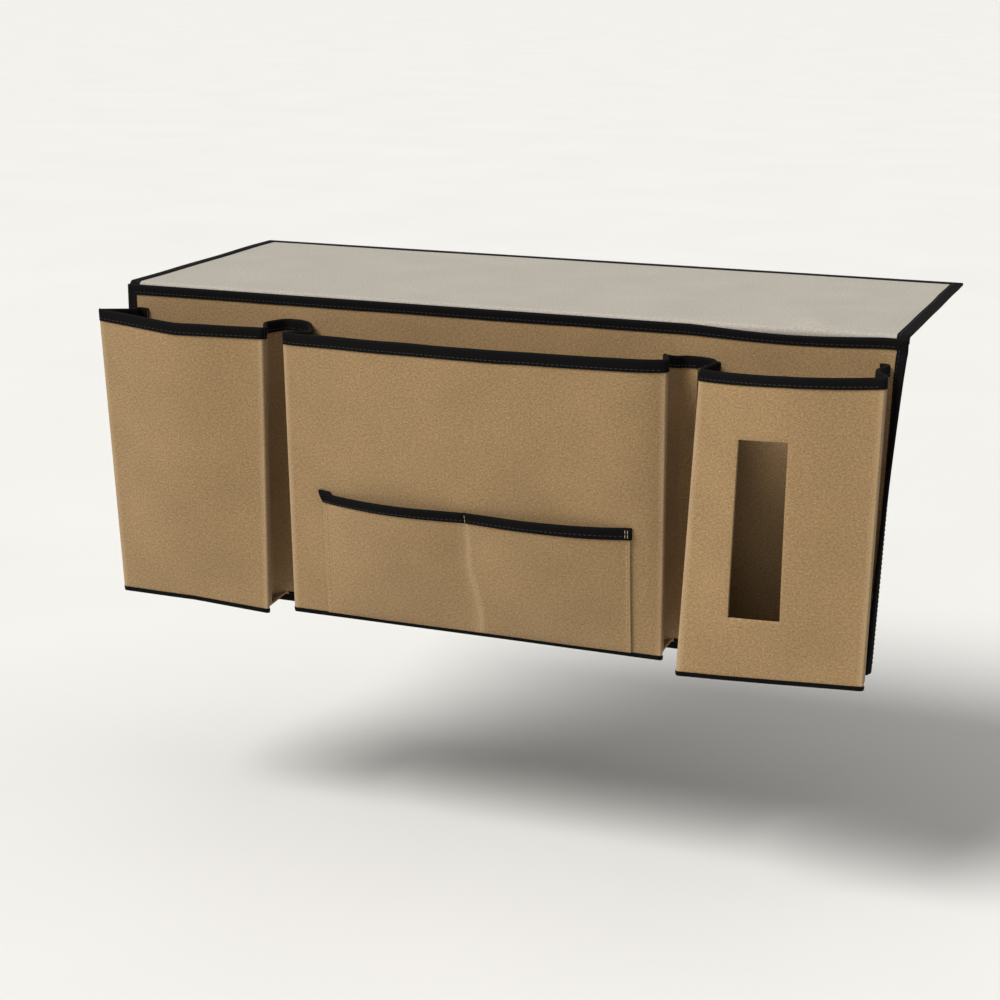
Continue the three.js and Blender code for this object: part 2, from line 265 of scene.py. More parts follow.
# A sheet of cloth: place(u, v) in mm on a grid, with its flat cut as UV, given thickness and a soft rim
def clothSheet(name, us, vs, place, thickness, material, hole=None, wearAndHighlight=None, rim=cloth["rim"]):
    deselectAll()
    bpy.ops.mesh.primitive_grid_add(x_subdivisions=len(us) - 1, y_subdivisions=len(vs) - 1, size=1)
    sheet = bpy.context.object
    sheet.name = sheet.data.name = name
    where = []
    for point in sheet.data.vertices:
        u = us[round((point.co.x + 0.5) * (len(us) - 1))]
        v = vs[round((point.co.y + 0.5) * (len(vs) - 1))]
        where.append((u, v))
        point.co = Vector(place(u, v)) * mm
    cut = sheet.data.uv_layers.active
    cut.name = "cut"
    for loop in sheet.data.loops:
        cut.data[loop.index].uv = Vector(where[loop.vertex_index]) * mm
    # marks for pale paint along folds and edges: a painted highlight, with handling wear
    if wearAndHighlight:
        marks = sheet.data.attributes.new("wearAndHighlight", "FLOAT", "POINT")
        for i, (u, v) in enumerate(where):
            marks.data[i].value = wearAndHighlight(u, v)
    if hole:
        cutHole(sheet, where, hole)
    solid = sheet.modifiers.new("thickness", "SOLIDIFY")
    solid.thickness = thickness * mm
    solid.offset = 0
    bpy.ops.object.modifier_apply(modifier="thickness")
    soft = sheet.modifiers.new("soft rim", "BEVEL")
    soft.width = rim * mm
    soft.segments = cloth["rimSegments"]
    soft.limit_method = "ANGLE"
    soft.angle_limit = math.radians(cloth["rimAngle"])
    bpy.ops.object.modifier_apply(modifier="soft rim")
    sheet.data.materials.clear()
    sheet.data.materials.append(material)
    bpy.ops.object.shade_smooth_by_angle(angle=math.radians(cloth["smoothAngle"]))
    return sheet


# Stitches: proud is the share of the radius by which the thread's middle stands off the cloth
stitch = {"pitch": 3.6, "length": 2.7, "radius": 0.3, "dip": 0.35, "pinch": 0.35, "proud": 0.6,
          "probe": 0.3, "smoothAngle": 60}


def modelStitch():
    deselectAll()
    bpy.ops.mesh.primitive_cylinder_add(vertices=6, radius=stitch["radius"] * mm,
                                        depth=stitch["length"] * mm, rotation=(0, math.pi / 2, 0))
    bpy.ops.object.transform_apply(location=True, rotation=True, scale=True)
    model = bpy.context.object
    model.name = "stitchModel"
    bpy.ops.object.mode_set(mode="EDIT")
    bpy.ops.mesh.select_mode(type="EDGE")
    bpy.ops.mesh.select_all(action="DESELECT")
    bpy.ops.object.mode_set(mode="OBJECT")
    for edge in model.data.edges:
        a, b = (model.data.vertices[i].co for i in edge.vertices)
        edge.select = abs(a.x - b.x) > stitch["length"] * mm / 2
    bpy.ops.object.mode_set(mode="EDIT")
    bpy.ops.mesh.subdivide(number_cuts=2)
    bpy.ops.object.mode_set(mode="OBJECT")
    for point in model.data.vertices:
        end = abs(point.co.x) / (stitch["length"] * mm / 2)
        point.co.z -= stitch["dip"] * mm * end ** 2
        point.co.y *= 1 - stitch["pinch"] * end
    bpy.ops.object.shade_smooth_by_angle(angle=math.radians(stitch["smoothAngle"]))
    return model


stitchModel = modelStitch()


def stitchRow(name, spots, material, body):
    deselectAll()
    for place, along, out in spots:
        copy = stitchModel.copy()
        copy.data = stitchModel.data.copy()
        bpy.context.collection.objects.link(copy)
        turn = Matrix((along, out.cross(along), out)).transposed().to_4x4()
        copy.matrix_world = Matrix.Translation(place * mm) @ turn
        copy.select_set(True)
    bpy.context.view_layer.objects.active = copy
    bpy.ops.object.join()
    row = bpy.context.object
    bpy.ops.object.transform_apply(location=True, rotation=True, scale=True)
    row.name = row.data.name = name
    row.data.materials.clear()
    row.data.materials.append(material)
    follow(row, body)


# A seam's stitches from start to end: runner(distance) gives a place and the way out of the cloth
def seamSpots(runner, start, end, pitch=stitch["pitch"]):
    spots = []
    for i in range(int((end - start) / pitch)):
        s = start + (i + 0.5) * pitch
        place, out = runner(s)
        along = (runner(s + stitch["probe"])[0] - runner(s - stitch["probe"])[0]).normalized()
        out = (out - along * out.dot(along)).normalized()
        spots.append((place, along, out))
    return spots


# Folded tape: narrow tapes have no stitches of their own; shoulder is a share of across and a depth
tape = {
    "width": 9, "foot": 3.8, "narrow": 5, "thickness": 0.5, "rim": 0.15, "step": 1.2,
    "across": 1.32, "lip": 0.6, "lipOut": 1.02, "seamLines": (1.4, 2.0, 2.7), "shoulder": (0.97, 2.0),
    "foldOut": 0.93, "foldDepth": 1.25, "foldSteps": 6, "seamIn": 2.0, "seamTrim": 0.6,
    "pucker": 0.14, "puckerReach": 1.3, "waver": 0.035, "waverLength": 38, "outProbe": 3,
}


# Distances across the cloth and in from the edge, from one lip over the fold to the other
def tapeProfile(width):
    across = tape["across"]
    flank = [(across * tape["lipOut"], width), (across, width - tape["lip"])]
    if width > tape["narrow"]:
        flank += [(across, width - line) for line in tape["seamLines"]]
        flank += [(across, width / 2), (across * tape["shoulder"][0], tape["shoulder"][1])]
    turns = [math.pi * k / tape["foldSteps"] for k in range(1, tape["foldSteps"])]
    fold = [(across * tape["foldOut"] * math.cos(t), tape["foldDepth"] - math.sin(t)) for t in turns]
    return flank + fold + [(-a, d) for a, d in reversed(flank)]


# Binds an edge that runner(distance along, distance in from the edge, distance across the cloth) gives
def bindEdge(name, runner, start, end, body, node, mitre=(0, 0), width=tape["width"], seed=1,
             flare=0):
    profile = tapeProfile(width)
    runs = [0]
    for (a0, d0), (a1, d1) in zip(profile, profile[1:]):
        runs.append(runs[-1] + math.hypot(a1 - a0, d1 - d0))
    at = dict(zip(runs, profile))
    seamAt = width - tape["seamIn"]

    def place(s, run):
        across, inward = at[run]
        share = (s - start) / (end - start)
        along = lerp(start + mitre[0] * inward, end - mitre[1] * inward, share)
        pulled = 0.5 + 0.5 * math.cos(2 * math.pi * (s - start) / stitch["pitch"] - math.pi)
        pucker = tape["pucker"] * pulled * hump(inward - seamAt, tape["puckerReach"])
        uneven = 1 + tape["waver"] * ripple(s / tape["waverLength"], 0, seed) + flare * (2 * share - 1)
        return runner(along, inward * uneven, across - math.copysign(pucker, across))

    sheet = clothSheet(name, spaced(start, end, tape["step"]), runs, place, tape["thickness"], blackTape,
                       rim=tape["rim"])
    dress(sheet, body, node)
    if width < tape["narrow"]:
        return sheet
    seamStart = start + mitre[0] * seamAt + tape["seamTrim"]
    seamEnd = end - mitre[1] * seamAt - tape["seamTrim"]
    high = tape["across"] + tape["thickness"] / 2 - tape["pucker"] + stitch["radius"] * stitch["proud"]
    spots = []
    for side in (1, -1):
        spots += seamSpots(lambda s: (
            runner(s, seamAt, side * high),
            side * (runner(s, seamAt, tape["outProbe"]) - runner(s, seamAt, 0))), seamStart, seamEnd)
    stitchRow(name + "Stitches", spots, blackThread, body)
    return sheet


# Tuck flap: waveFade is from the fold and from the rear edge
flap = {
    "halfWidth": 310, "rearY": 125, "midZ": 1.0, "thickness": 1.7, "step": 4,
    "foldRadius": 3.2, "foldStep": 0.9, "turnDownY": -123.45, "turnDown": 2,
    "wave": 0.8, "waveLength": (110, 90), "waveFade": (60, 30), "waveSeed": 3,
    "tuckX": 240, "tuckWidth": 13, "tuckSpread": 0.15, "tuckHeight": 5, "tuckRise": 9, "tuckReach": 70,
}
half = flap["halfWidth"]
flapFlat = flap["rearY"] - (flap["turnDownY"] + flap["foldRadius"])
flapLength = flapFlat + flap["foldRadius"] * math.pi / 2 + flap["turnDown"]
# in metres, from just behind the fold to the seam on the panel
flapBend = ("flap", "hanging_panel", (0, -0.118, 0.001), (0, -0.1236, -0.004))


# Point and upward normal of the flap's middle line, from its rear edge to the seam behind the back panel
def flapLine(s):
    radius = flap["foldRadius"]
    if s <= flapFlat:
        return (flap["rearY"] - s, flap["midZ"]), (0, 1)
    angle = min((s - flapFlat) / radius, math.pi / 2)
    y = flap["turnDownY"] + radius * (1 - math.sin(angle))
    z = flap["midZ"] - radius * (1 - math.cos(angle))
    down = max(0, s - flapFlat - radius * math.pi / 2)
    return (y, z - down), (-math.sin(angle), math.cos(angle))


# A small tuck of slack cloth that rises beside the seam and dies away behind it
def flapTuck(x, s):
    behind = max(0, flapFlat - s)
    width = flap["tuckWidth"] + flap["tuckSpread"] * behind
    rising = 1 - math.exp(-behind / flap["tuckRise"])
    height = flap["tuckHeight"] * rising * hump(behind, flap["tuckReach"])
    return height * hump(x - flap["tuckX"], width)


def flapPoint(x, s, across):
    (y, z), (ny, nz) = flapLine(s)
    lengthX, lengthS = flap["waveLength"]
    foldFade, rearFade = flap["waveFade"]
    lift = flap["wave"] * ripple(x / lengthX, s / lengthS, flap["waveSeed"])
    lift *= clamped((flapFlat - s) / foldFade) * min(1, s / rearFade)
    lift += flapTuck(x, s)
    return Vector((x, y + ny * across, z + nz * across + lift))


flapRows = spaced(edgeIn, flapFlat, flap["step"]) + spaced(flapFlat, flapLength, flap["foldStep"])[1:]
flapCloth = clothSheet("tuckFlapCloth", spaced(-half + edgeIn, half - edgeIn, flap["step"]), flapRows,
                       lambda x, s: flapPoint(x, s, 0), flap["thickness"], greyFelt)
dress(flapCloth, flapBend, "tuck_flap")
for side, word, seed in ((-1, "Left", 11), (1, "Right", 12)):
    bindEdge(f"flap{word}Tape", lambda s, d, a: flapPoint(side * (half - d), s, a), 0, flapLength, flapBend,
             f"flap_{word.lower()}_binding", mitre=(1, 0), seed=seed)
bindEdge("flapRearTape", lambda s, d, a: flapPoint(s, d, a), -half, half, "flap", "flap_rear_binding",
         mitre=(1, 1), seed=13)
print("tuck flap made")


# Back panel: curl in degrees; above leastCurl, in radians, the right edge is bent, and below it is straight
back = {
    "midY": -126.3, "height": 248, "thickness": 2.0, "tape": 8, "step": (10, 6),
    "wave": 0.35, "waveLength": (80, 70), "waveFade": 40, "waveSeed": 5,
    "curlFrom": 300.9, "curl": 108, "curlRadius": 2.5, "curlTop": 11, "curlOver": 200, "curlGrowth": 0.5,
    "leastCurl": 0.01, "straightRadius": 10000, "curlStep": 0.8,
    "pull": 8, "pullFrom": 190, "pullOver": 110, "pullGrowth": 1.2,
    "sag": 3, "sagFrom": 152, "sagTo": 293, "sagSwell": 1.2, "sagReach": 40, "sagRows": -60, "sagStep": 1.8,
}


# How far the laden right pocket draws the panel's right end in, which grows towards the foot
def drawnIn(x, z):
    share = eased((x - back["pullFrom"]) / back["pullOver"])
    return -back["pull"] * share * (max(0, -z) / back["height"]) ** back["pullGrowth"]


# How far the panel's top edge hangs down between the centre pocket and the right end
def sagged(x, z):
    share = clamped((x - back["sagFrom"]) / (back["sagTo"] - back["sagFrom"]))
    hang = math.sin(math.pi * share) ** back["sagSwell"]
    return -back["sag"] * hang * max(0, 1 + z / back["sagReach"]) ** 2


# The bound right edge curls forward, more and more towards the foot
def backPoint(x, z, across):
    lengthX, lengthZ = back["waveLength"]
    room = back["waveFade"]
    fade = min(1, (half - abs(x)) / room) * min(1, -z / room, (z + back["height"]) / room)
    y = back["midY"] + back["wave"] * ripple(x / lengthX, z / lengthZ, back["waveSeed"]) * max(0, fade)
    over = x - back["curlFrom"]
    if over <= 0:
        return Vector((x + drawnIn(x, z), y - across, z + sagged(x, z)))
    down = max(0, -z - back["curlTop"]) / back["curlOver"]
    most = math.radians(back["curl"]) * down ** back["curlGrowth"]
    radius = back["curlRadius"] if most > back["leastCurl"] else back["straightRadius"]
    angle = min(over / radius, most)
    past = over - angle * radius
    nx, ny = math.sin(angle), math.cos(angle)
    return Vector((back["curlFrom"] + radius * nx + past * ny - across * nx + drawnIn(x, z),
                   y - radius * (1 - ny) - past * nx - across * ny, z + sagged(x, z)))


panelFoot = -back["height"]
backCloth = clothSheet(
    "backPanelCloth",
    spaced(-half + edgeIn, back["curlFrom"], back["step"][0])
    + spaced(back["curlFrom"], half - edgeIn, back["curlStep"])[1:],
    spaced(panelFoot + edgeIn, back["sagRows"], back["step"][1])
    + spaced(back["sagRows"], -edgeIn, back["sagStep"])[1:],
    lambda x, z: backPoint(x, z, 0), back["thickness"], tanFelt)
dress(backCloth, "hanging_panel", "back_panel")
for word, runner, start, end, seed in (
    ("Top", lambda s, d, a: backPoint(s, -d, a), -half, half, 21),
    ("Bottom", lambda s, d, a: backPoint(s, panelFoot + d, a), -half, half, 22),
    ("Left", lambda s, d, a: backPoint(-half + d, s, a), panelFoot, 0, 23),
    ("Right", lambda s, d, a: backPoint(half - d, s, a), panelFoot, 0, 24),
):
    bindEdge(f"back{word}Tape", runner, start, end, "hanging_panel", f"back_{word.lower()}_binding",
             mitre=(1, 1), width=back["tape"], seed=seed)
print("back panel made")


# Pockets
shell = {
    "faceY": -127.3, "mouthZ": -18, "footZ": -243, "floorZ": -237.7, "thickness": 2.0, "seamGap": 0.3,
    "sideMargin": 9.3, "corner": 2.0, "cornerSteps": 4, "step": (3.5, 4), "rim": 0.25, "probe": 0.2,
    "bowSpread": 1.3, "bowGrowth": 3, "shoulderIn": 30, "wave": 0.7, "waveLength": (55, 60),
    "mouthHold": 8, "mouthWaver": 0.5, "mouthWaverLength": 40, "cornerReach": 6,
}
# strain: how far a front is drawn sideways and up, at the foot and the mouth of its left and right edge
# crown: how far the middle of the mouth is drawn up; shoulder: how full the front is inside its right edge
# dip: how far the mouth of the left and of the right gusset hangs down at its crease and at the panel
pockets = {
    "left": {
        "x0": -305, "x1": -170, "mouthDepth": 46, "footDepth": 40, "outer": -1, "seed": 31, "tape": 9,
        "bow": 9, "shoulder": 0, "crown": 1.0, "cornerLift": 0.6, "dip": ((0, 0), (0, 0)),
        "strain": (((4.7, 0.7), (-5.2, 5.0)), ((-1.1, -3.6), (2.0, 0.1)))},
    "centre": {
        "x0": -150, "x1": 150, "mouthDepth": 51, "footDepth": 40, "outer": 0, "seed": 32, "tape": 9.5,
        "bow": 11, "shoulder": 6, "crown": 0.3, "cornerLift": 0.6, "dip": ((4, 0), (0, 5)),
        "strain": (((1.1, 1.1), (0.4, -1.0)), ((-0.5, -1.5), (-0.2, 1.0)))},
    "right": {
        "x0": 170, "x1": 305, "mouthDepth": 52, "footDepth": 64, "outer": 1, "seed": 33, "tape": 8.4,
        "bow": 11, "shoulder": 0, "crown": -1.8, "cornerLift": 0.5, "dip": ((0, 5), (0, 0)),
        "strain": (((-3.8, -2.8), (3.9, -3.8)), ((-2.5, 3.3), (-0.2, 0.4)))},
}
slotCut = {"x0": 205, "x1": 242, "top": -65.5, "bottom": -195.5}


def rise(z):
    return (z - shell["footZ"]) / (shell["mouthZ"] - shell["footZ"])


def strained(pocket, x, z):
    side = 2 * (x - pocket["x0"]) / (pocket["x1"] - pocket["x0"]) - 1
    foot, mouth = pocket["strain"][0 if side < 0 else 1]
    up, hold = clamped(rise(z)), min(1, abs(side))
    return lerp(foot[0], mouth[0], up) * hold, lerp(foot[1], mouth[1], up) * hold


def edgeY(pocket, z):
    return shell["faceY"] - lerp(pocket["footDepth"], pocket["mouthDepth"], rise(z))


# Outer face of a front, which bows out between its upright edges, most at the mouth
def frontY(pocket, x, z):
    share = (x - pocket["x0"] - shell["corner"]) / (pocket["x1"] - pocket["x0"] - 2 * shell["corner"])
    across = math.sin(math.pi * clamped(share))
    inside = max(0, pocket["x1"] - shell["corner"] - x) / shell["shoulderIn"]
    full = pocket["bow"] * across ** shell["bowSpread"] + pocket["shoulder"] * inside * math.exp(1 - inside)
    bow = full * (1 - (1 - clamped(rise(z))) ** shell["bowGrowth"])
    lengthX, lengthZ = shell["waveLength"]
    wave = shell["wave"] * ripple(x / lengthX, z / lengthZ, pocket["seed"]) * across
    return edgeY(pocket, z) - bow - wave


def frontLength(pocket):
    return pocket["x1"] - pocket["x0"] - 2 * shell["corner"] + math.pi * shell["corner"] / 2


# Middle line of a front in plan: a folded corner, the bowed face, a folded corner
def frontLine(pocket, s, z):
    radius = shell["corner"] / 2
    bend = radius * math.pi / 2
    flat = frontLength(pocket) - 2 * bend
    if bend <= s <= bend + flat:
        x = pocket["x0"] + shell["corner"] + s - bend
        return x, frontY(pocket, x, z) + shell["thickness"] / 2
    over = min(s, bend) if s < bend else s - flat
    angle = math.pi + max(0, min(over, 2 * bend)) / radius
    centre = pocket["x0"] + shell["corner"] if s < bend else pocket["x1"] - shell["corner"]
    return centre + radius * math.cos(angle), edgeY(pocket, z) + shell["corner"] + radius * math.sin(angle)


def frontPoint(pocket, s, z, across):
    x, y = frontLine(pocket, s, z)
    xa, ya = frontLine(pocket, s - shell["probe"], z)
    xb, yb = frontLine(pocket, s + shell["probe"], z)
    long = math.hypot(xb - xa, yb - ya) or 1
    nx, ny = (yb - ya) / long, -(xb - xa) / long
    waver = shell["mouthWaver"] * ripple(s / shell["mouthWaverLength"], 0, pocket["seed"] + 4)
    corner = pocket["cornerLift"] * hump(s, shell["cornerReach"])
    crown = pocket["crown"] * math.sin(math.pi * clamped(s / frontLength(pocket)))
    lift = max(0, rise(z)) ** shell["mouthHold"] * (waver + corner + crown)
    dx, dz = strained(pocket, x, z)
    return Vector((x + nx * across + dx, y + ny * across, z + lift + dz))


# Pale paint along the folds of a front, uneven along their length: handling wear and a painted highlight
# where the folds catch the light
foldRubAndHighlight = {"most": 0.4, "fromEdge": 1.4, "spread": 0.6, "even": 0.75, "patchy": 0.25,
           "length": 25, "seed": 9}


def foldWearAndHighlight(pocket):
    total = frontLength(pocket)

    def wearAndHighlight(s, z):
        near = math.exp(-(min(s, total - s) - foldRubAndHighlight["fromEdge"]) ** 2 / foldRubAndHighlight["spread"])
        unevenness = foldRubAndHighlight["even"] + foldRubAndHighlight["patchy"] * ripple(z / foldRubAndHighlight["length"], s, foldRubAndHighlight["seed"])
        return foldRubAndHighlight["most"] * near * unevenness

    return wearAndHighlight


def makeFront(name, pocket, body):
    total = frontLength(pocket)
    bend = math.pi * shell["corner"] / 4
    offset = pocket["x0"] + shell["corner"] - bend  # s to x along the face
    stops = [bend, total - bend]
    levels = [shell["footZ"] + edgeIn, shell["mouthZ"] - edgeIn]
    hole = None
    if name == "right":
        hole = ((slotCut["x0"] - offset, slotCut["x1"] - offset), (slotCut["bottom"], slotCut["top"]))
        stops[1:1] = hole[0]
        levels[1:1] = hole[1]
    steps = shell["cornerSteps"]
    us = [bend * i / steps for i in range(steps)] + [stops[0]]
    for a, b in zip(stops, stops[1:]):
        us += spaced(a, b, shell["step"][0])[1:]
    us += [total - bend * (steps - 1 - i) / steps for i in range(steps)]
    vs = [levels[0]]
    for a, b in zip(levels, levels[1:]):
        vs += spaced(a, b, shell["step"][1])[1:]
    front = clothSheet(name + "FrontCloth", us, vs, lambda s, z: frontPoint(pocket, s, z, 0),
                       shell["thickness"], tanFelt, hole=hole, wearAndHighlight=foldWearAndHighlight(pocket), rim=shell["rim"])
    dress(front, body, f"{name}_pocket_front")
    bindEdge(name + "MouthTape", lambda s, d, a: frontPoint(pocket, s, shell["mouthZ"] - d, a), 0, total,
             body, f"{name}_mouth_binding", width=pocket["tape"], seed=pocket["seed"] + 10)
    foot = bindEdge(name + "FootTape", lambda s, d, a: frontPoint(pocket, s, shell["footZ"] + d, a), 0,
                    total, body, f"{name}_foot_binding", width=tape["foot"], seed=pocket["seed"] + 20)


# Gussets: thin is a share of the fronts' thickness; the dip starts, in shares of the way left to the panel,
# at dipFrom and is full dipOver further on
gusset = {
    "pleat": 9, "lap": 4, "flange": 8, "valley": 20, "creases": (8, 12, 9), "thin": 0.8, "step": 6,
    "cornerSteps": 8, "straightSteps": 4, "room": 0.45, "lastRoom": 0.85, "measureZ": -110,
    "wave": 0.7, "waveLength": (22, 45), "dipFrom": 0.7, "dipOver": 0.5, "dipHold": 3,
    "wearAndHighlight": 0.3, "wearAndHighlightReach": 1.5, "tapeFrom": 0.5, "tapeMeet": 0.9,
}


# An open line with its inner corners rounded; lines from the same count of points have the same count back
def roundedLine(points, radii):
    points = [Vector(p) for p in points]
    straightSteps, cornerSteps = gusset["straightSteps"], gusset["cornerSteps"]
    last = points[0]
    line = []
    for i in range(1, len(points) - 1):
        before, after = (points[i - 1] - points[i]).normalized(), (points[i + 1] - points[i]).normalized()
        room = gusset["room"] if i < len(points) - 2 else gusset["lastRoom"]
        reach = min(radii[i - 1] / math.tan(before.angle(after) / 2),
                    gusset["room"] * (points[i - 1] - points[i]).length,
                    room * (points[i + 1] - points[i]).length)
        start, end = points[i] + before * reach, points[i] + after * reach
        line += [last.lerp(start, k / straightSteps) for k in range(straightSteps)]
        for k in range(cornerSteps):
            t = k / cornerSteps
            line.append(start * (1 - t) ** 2 + points[i] * 2 * t * (1 - t) + end * t ** 2)
        last = end
    return line + [last.lerp(points[-1], k / straightSteps) for k in range(straightSteps + 1)]


# Middle line of a gusset in plan: front seam, inward pleat, back seam, flange on the back panel
def gussetLine(pocket, side, z):
    halfCloth = shell["thickness"] / 2
    outer = side == pocket["outer"]
    edge = (pocket["x0"] if side < 0 else pocket["x1"]) - side * halfCloth
    root = side * (half - shell["sideMargin"]) - side * halfCloth if outer else edge
    root += drawnIn(root, z)
    front = edgeY(pocket, z) + shell["thickness"] + shell["seamGap"]
    lapEnd = front + gusset["lap"]
    rear = shell["faceY"] - shell["seamGap"] - halfCloth
    crease = (edge + root) / 2 - side * gusset["pleat"]
    flange = side * (halfCloth + gusset["valley"] / 2 - shell["seamGap"])  # to the middle of the valley
    if outer:
        flange = -side * gusset["flange"]
    return roundedLine([(edge, front), (edge, lapEnd), (crease, (lapEnd + rear) / 2), (root, rear),
                        (root + flange, rear)], gusset["creases"])


def makeGusset(name, pocket, side, bend):
    word = "left" if side < 0 else "right"
    edge = pocket["x0"] if side < 0 else pocket["x1"]
    atCrease, atPanel = pocket["dip"][0 if side < 0 else 1]
    lengthS, lengthZ = gusset["waveLength"]
    lines = {}

    def lineAt(z):
        key = round(z, 3)
        if key not in lines:
            lines[key] = gussetLine(pocket, side, z)
        return lines[key]

    middle = lineAt(gusset["measureZ"])
    runs = [0]
    for a, b in zip(middle, middle[1:]):
        runs.append(runs[-1] + (b - a).length)
    total = runs[-1]

    def gussetPoint(s, z, across):
        line = lineAt(z)
        i = next((k for k in range(1, len(runs)) if runs[k] >= s), len(runs) - 1)
        share = (s - runs[i - 1]) / (runs[i] - runs[i - 1])
        here = line[i - 1].lerp(line[i], share)
        way = (line[min(i + 1, len(line) - 1)] - line[max(i - 2, 0)]).normalized()
        wave = gusset["wave"] * ripple(s / lengthS, z / lengthZ, pocket["seed"] + side)
        wave *= math.sin(math.pi * clamped(s / total))
        here = here + Vector((way.y, -way.x)) * (across * -side + wave)
        dx, dz = strained(pocket, edge, z)
        hold = 1 - clamped(s / total)
        dip = atCrease * math.sin(math.pi * hold) ** 2
        dip += atPanel * eased((gusset["dipFrom"] - hold) / gusset["dipOver"])
        dip *= max(0, rise(z)) ** gusset["dipHold"]
        return Vector((here.x + dx * hold, here.y, z + dz * hold - dip))

    low = shell["floorZ"] + shell["seamGap"]
    piece = f"{name}{word.capitalize()}Gusset"
    # a pale line painted along the pleat's crease: a painted highlight, with handling wear
    crease = runs[len(runs) // 2]
    sheet = clothSheet(piece + "Cloth", runs, spaced(low, shell["mouthZ"] - edgeIn, gusset["step"]),
                       lambda s, z: gussetPoint(s, z, 0), shell["thickness"] * gusset["thin"], tanFelt,
                       wearAndHighlight=lambda s, z: gusset["wearAndHighlight"] * hump(s - crease, gusset["wearAndHighlightReach"]))
    dress(sheet, bend, f"{name}_{word}_gusset")
    # tapes of neighbouring gussets meet in the valley
    tapeEnd = total + gusset["tapeMeet"] * shell["seamGap"]
    bindEdge(piece + "Tape", lambda s, d, a: gussetPoint(s, shell["mouthZ"] - d, a), gusset["tapeFrom"],
             tapeEnd, bend, f"{name}_{word}_gusset_binding", width=pocket["tape"],
             seed=pocket["seed"] + side * 3)


# The floor sags between its seams, and its front and rear edges turn down into them
floorSizes = {
    "thickness": 1.6, "below": 1, "lip": 1.6, "turn": 1.2, "sag": 2.2, "sagSpread": (0.6, 0.8),
    "sideIn": 2.4, "frontIn": 1.5, "rearIn": 0.9, "cutIn": 5, "columns": 40, "rows": 16,
    "edgeRows": (-1, -0.5, 0, 0.008, 0.02, 0.035),  # shares of the depth, below 0 on the turned-down lip
}


def makeFloor(name, pocket, bend):
    lip, turn, sideIn = floorSizes["lip"], floorSizes["turn"], floorSizes["sideIn"]
    midZ = shell["floorZ"] - floorSizes["below"]
    sides = [pocket["x0"], pocket["x1"]]
    if pocket["outer"]:
        sides[0 if pocket["outer"] < 0 else 1] = pocket["outer"] * (half - shell["sideMargin"])
    rear = shell["faceY"] - floorSizes["rearIn"] - floorSizes["thickness"] / 2

    def floorPoint(u, v):
        frontX = lerp(pocket["x0"] + sideIn, pocket["x1"] - sideIn, u)
        rearX = lerp(sides[0] + sideIn, sides[1] - sideIn, u)
        rearX += drawnIn(rearX, midZ)
        share = clamped(v)
        drop = max(0, -v) + max(0, v - 1)
        z = midZ - drop * lip
        front = frontY(pocket, frontX, z) + shell["thickness"] + floorSizes["frontIn"]
        spreadU, spreadV = floorSizes["sagSpread"]
        sag = floorSizes["sag"] * math.sin(math.pi * u) ** spreadU * math.sin(math.pi * share) ** spreadV
        edge = min(share, 1 - share) * (rear - front)
        roll = turn
        if drop == 0:
            roll = turn * (1 - math.sqrt(max(0, 1 - (1 - min(edge / turn, 1)) ** 2)))
        dx, dz = strained(pocket, frontX, z)
        return Vector((lerp(frontX + dx, rearX, share), lerp(front, rear, share),
                       z - sag - roll + dz * (1 - share)))

    us = [i / floorSizes["columns"] for i in range(floorSizes["columns"] + 1)]
    vs = list(floorSizes["edgeRows"])
    vs += [i / floorSizes["rows"] for i in range(1, floorSizes["rows"])]
    vs += [1 - v for v in reversed(floorSizes["edgeRows"])]
    width, depth = pocket["x1"] - pocket["x0"] - floorSizes["cutIn"], pocket["footDepth"]
    sheet = clothSheet(name + "FloorCloth", [u * width for u in us], [v * depth for v in vs],
                       lambda u, v: floorPoint(u / width, v / depth), floorSizes["thickness"], tanFelt)
    dress(sheet, bend, f"{name}_pocket_floor")


for name, pocket in pockets.items():
    body = f"{name}_front"
    nearest = min(pocket["mouthDepth"], pocket["footDepth"]) - shell["thickness"]
    bend = ("hanging_panel", body, (0, shell["faceY"] * mm, 0), (0, (shell["faceY"] - nearest) * mm, 0))
    makeFront(name, pocket, body)
    makeFloor(name, pocket, bend)
    for side in (-1, 1):
        makeGusset(name, pocket, side, bend)
    print(name, "pocket made")

# Gussets are sewn down on the back panel, and the seams show on its rear face
panelSeams = {"outerIn": 15, "valleyIn": 5, "footIn": 6, "proud": 0.15}
rows = [-half + panelSeams["outerIn"], half - panelSeams["outerIn"]]
for before, after in (("left", "centre"), ("centre", "right")):
    valley = (pockets[before]["x1"] + pockets[after]["x0"]) / 2
    rows[-1:-1] = [valley - panelSeams["valleyIn"], valley + panelSeams["valleyIn"]]
spots = []
for x in rows:
    spots += seamSpots(lambda z: (
        backPoint(x, z, -back["thickness"] / 2 - panelSeams["proud"]), Vector((0, 1, 0))),
        shell["floorZ"] + panelSeams["footIn"], shell["mouthZ"])
stitchRow("gussetSeamStitches", spots, tanThread, "hanging_panel")


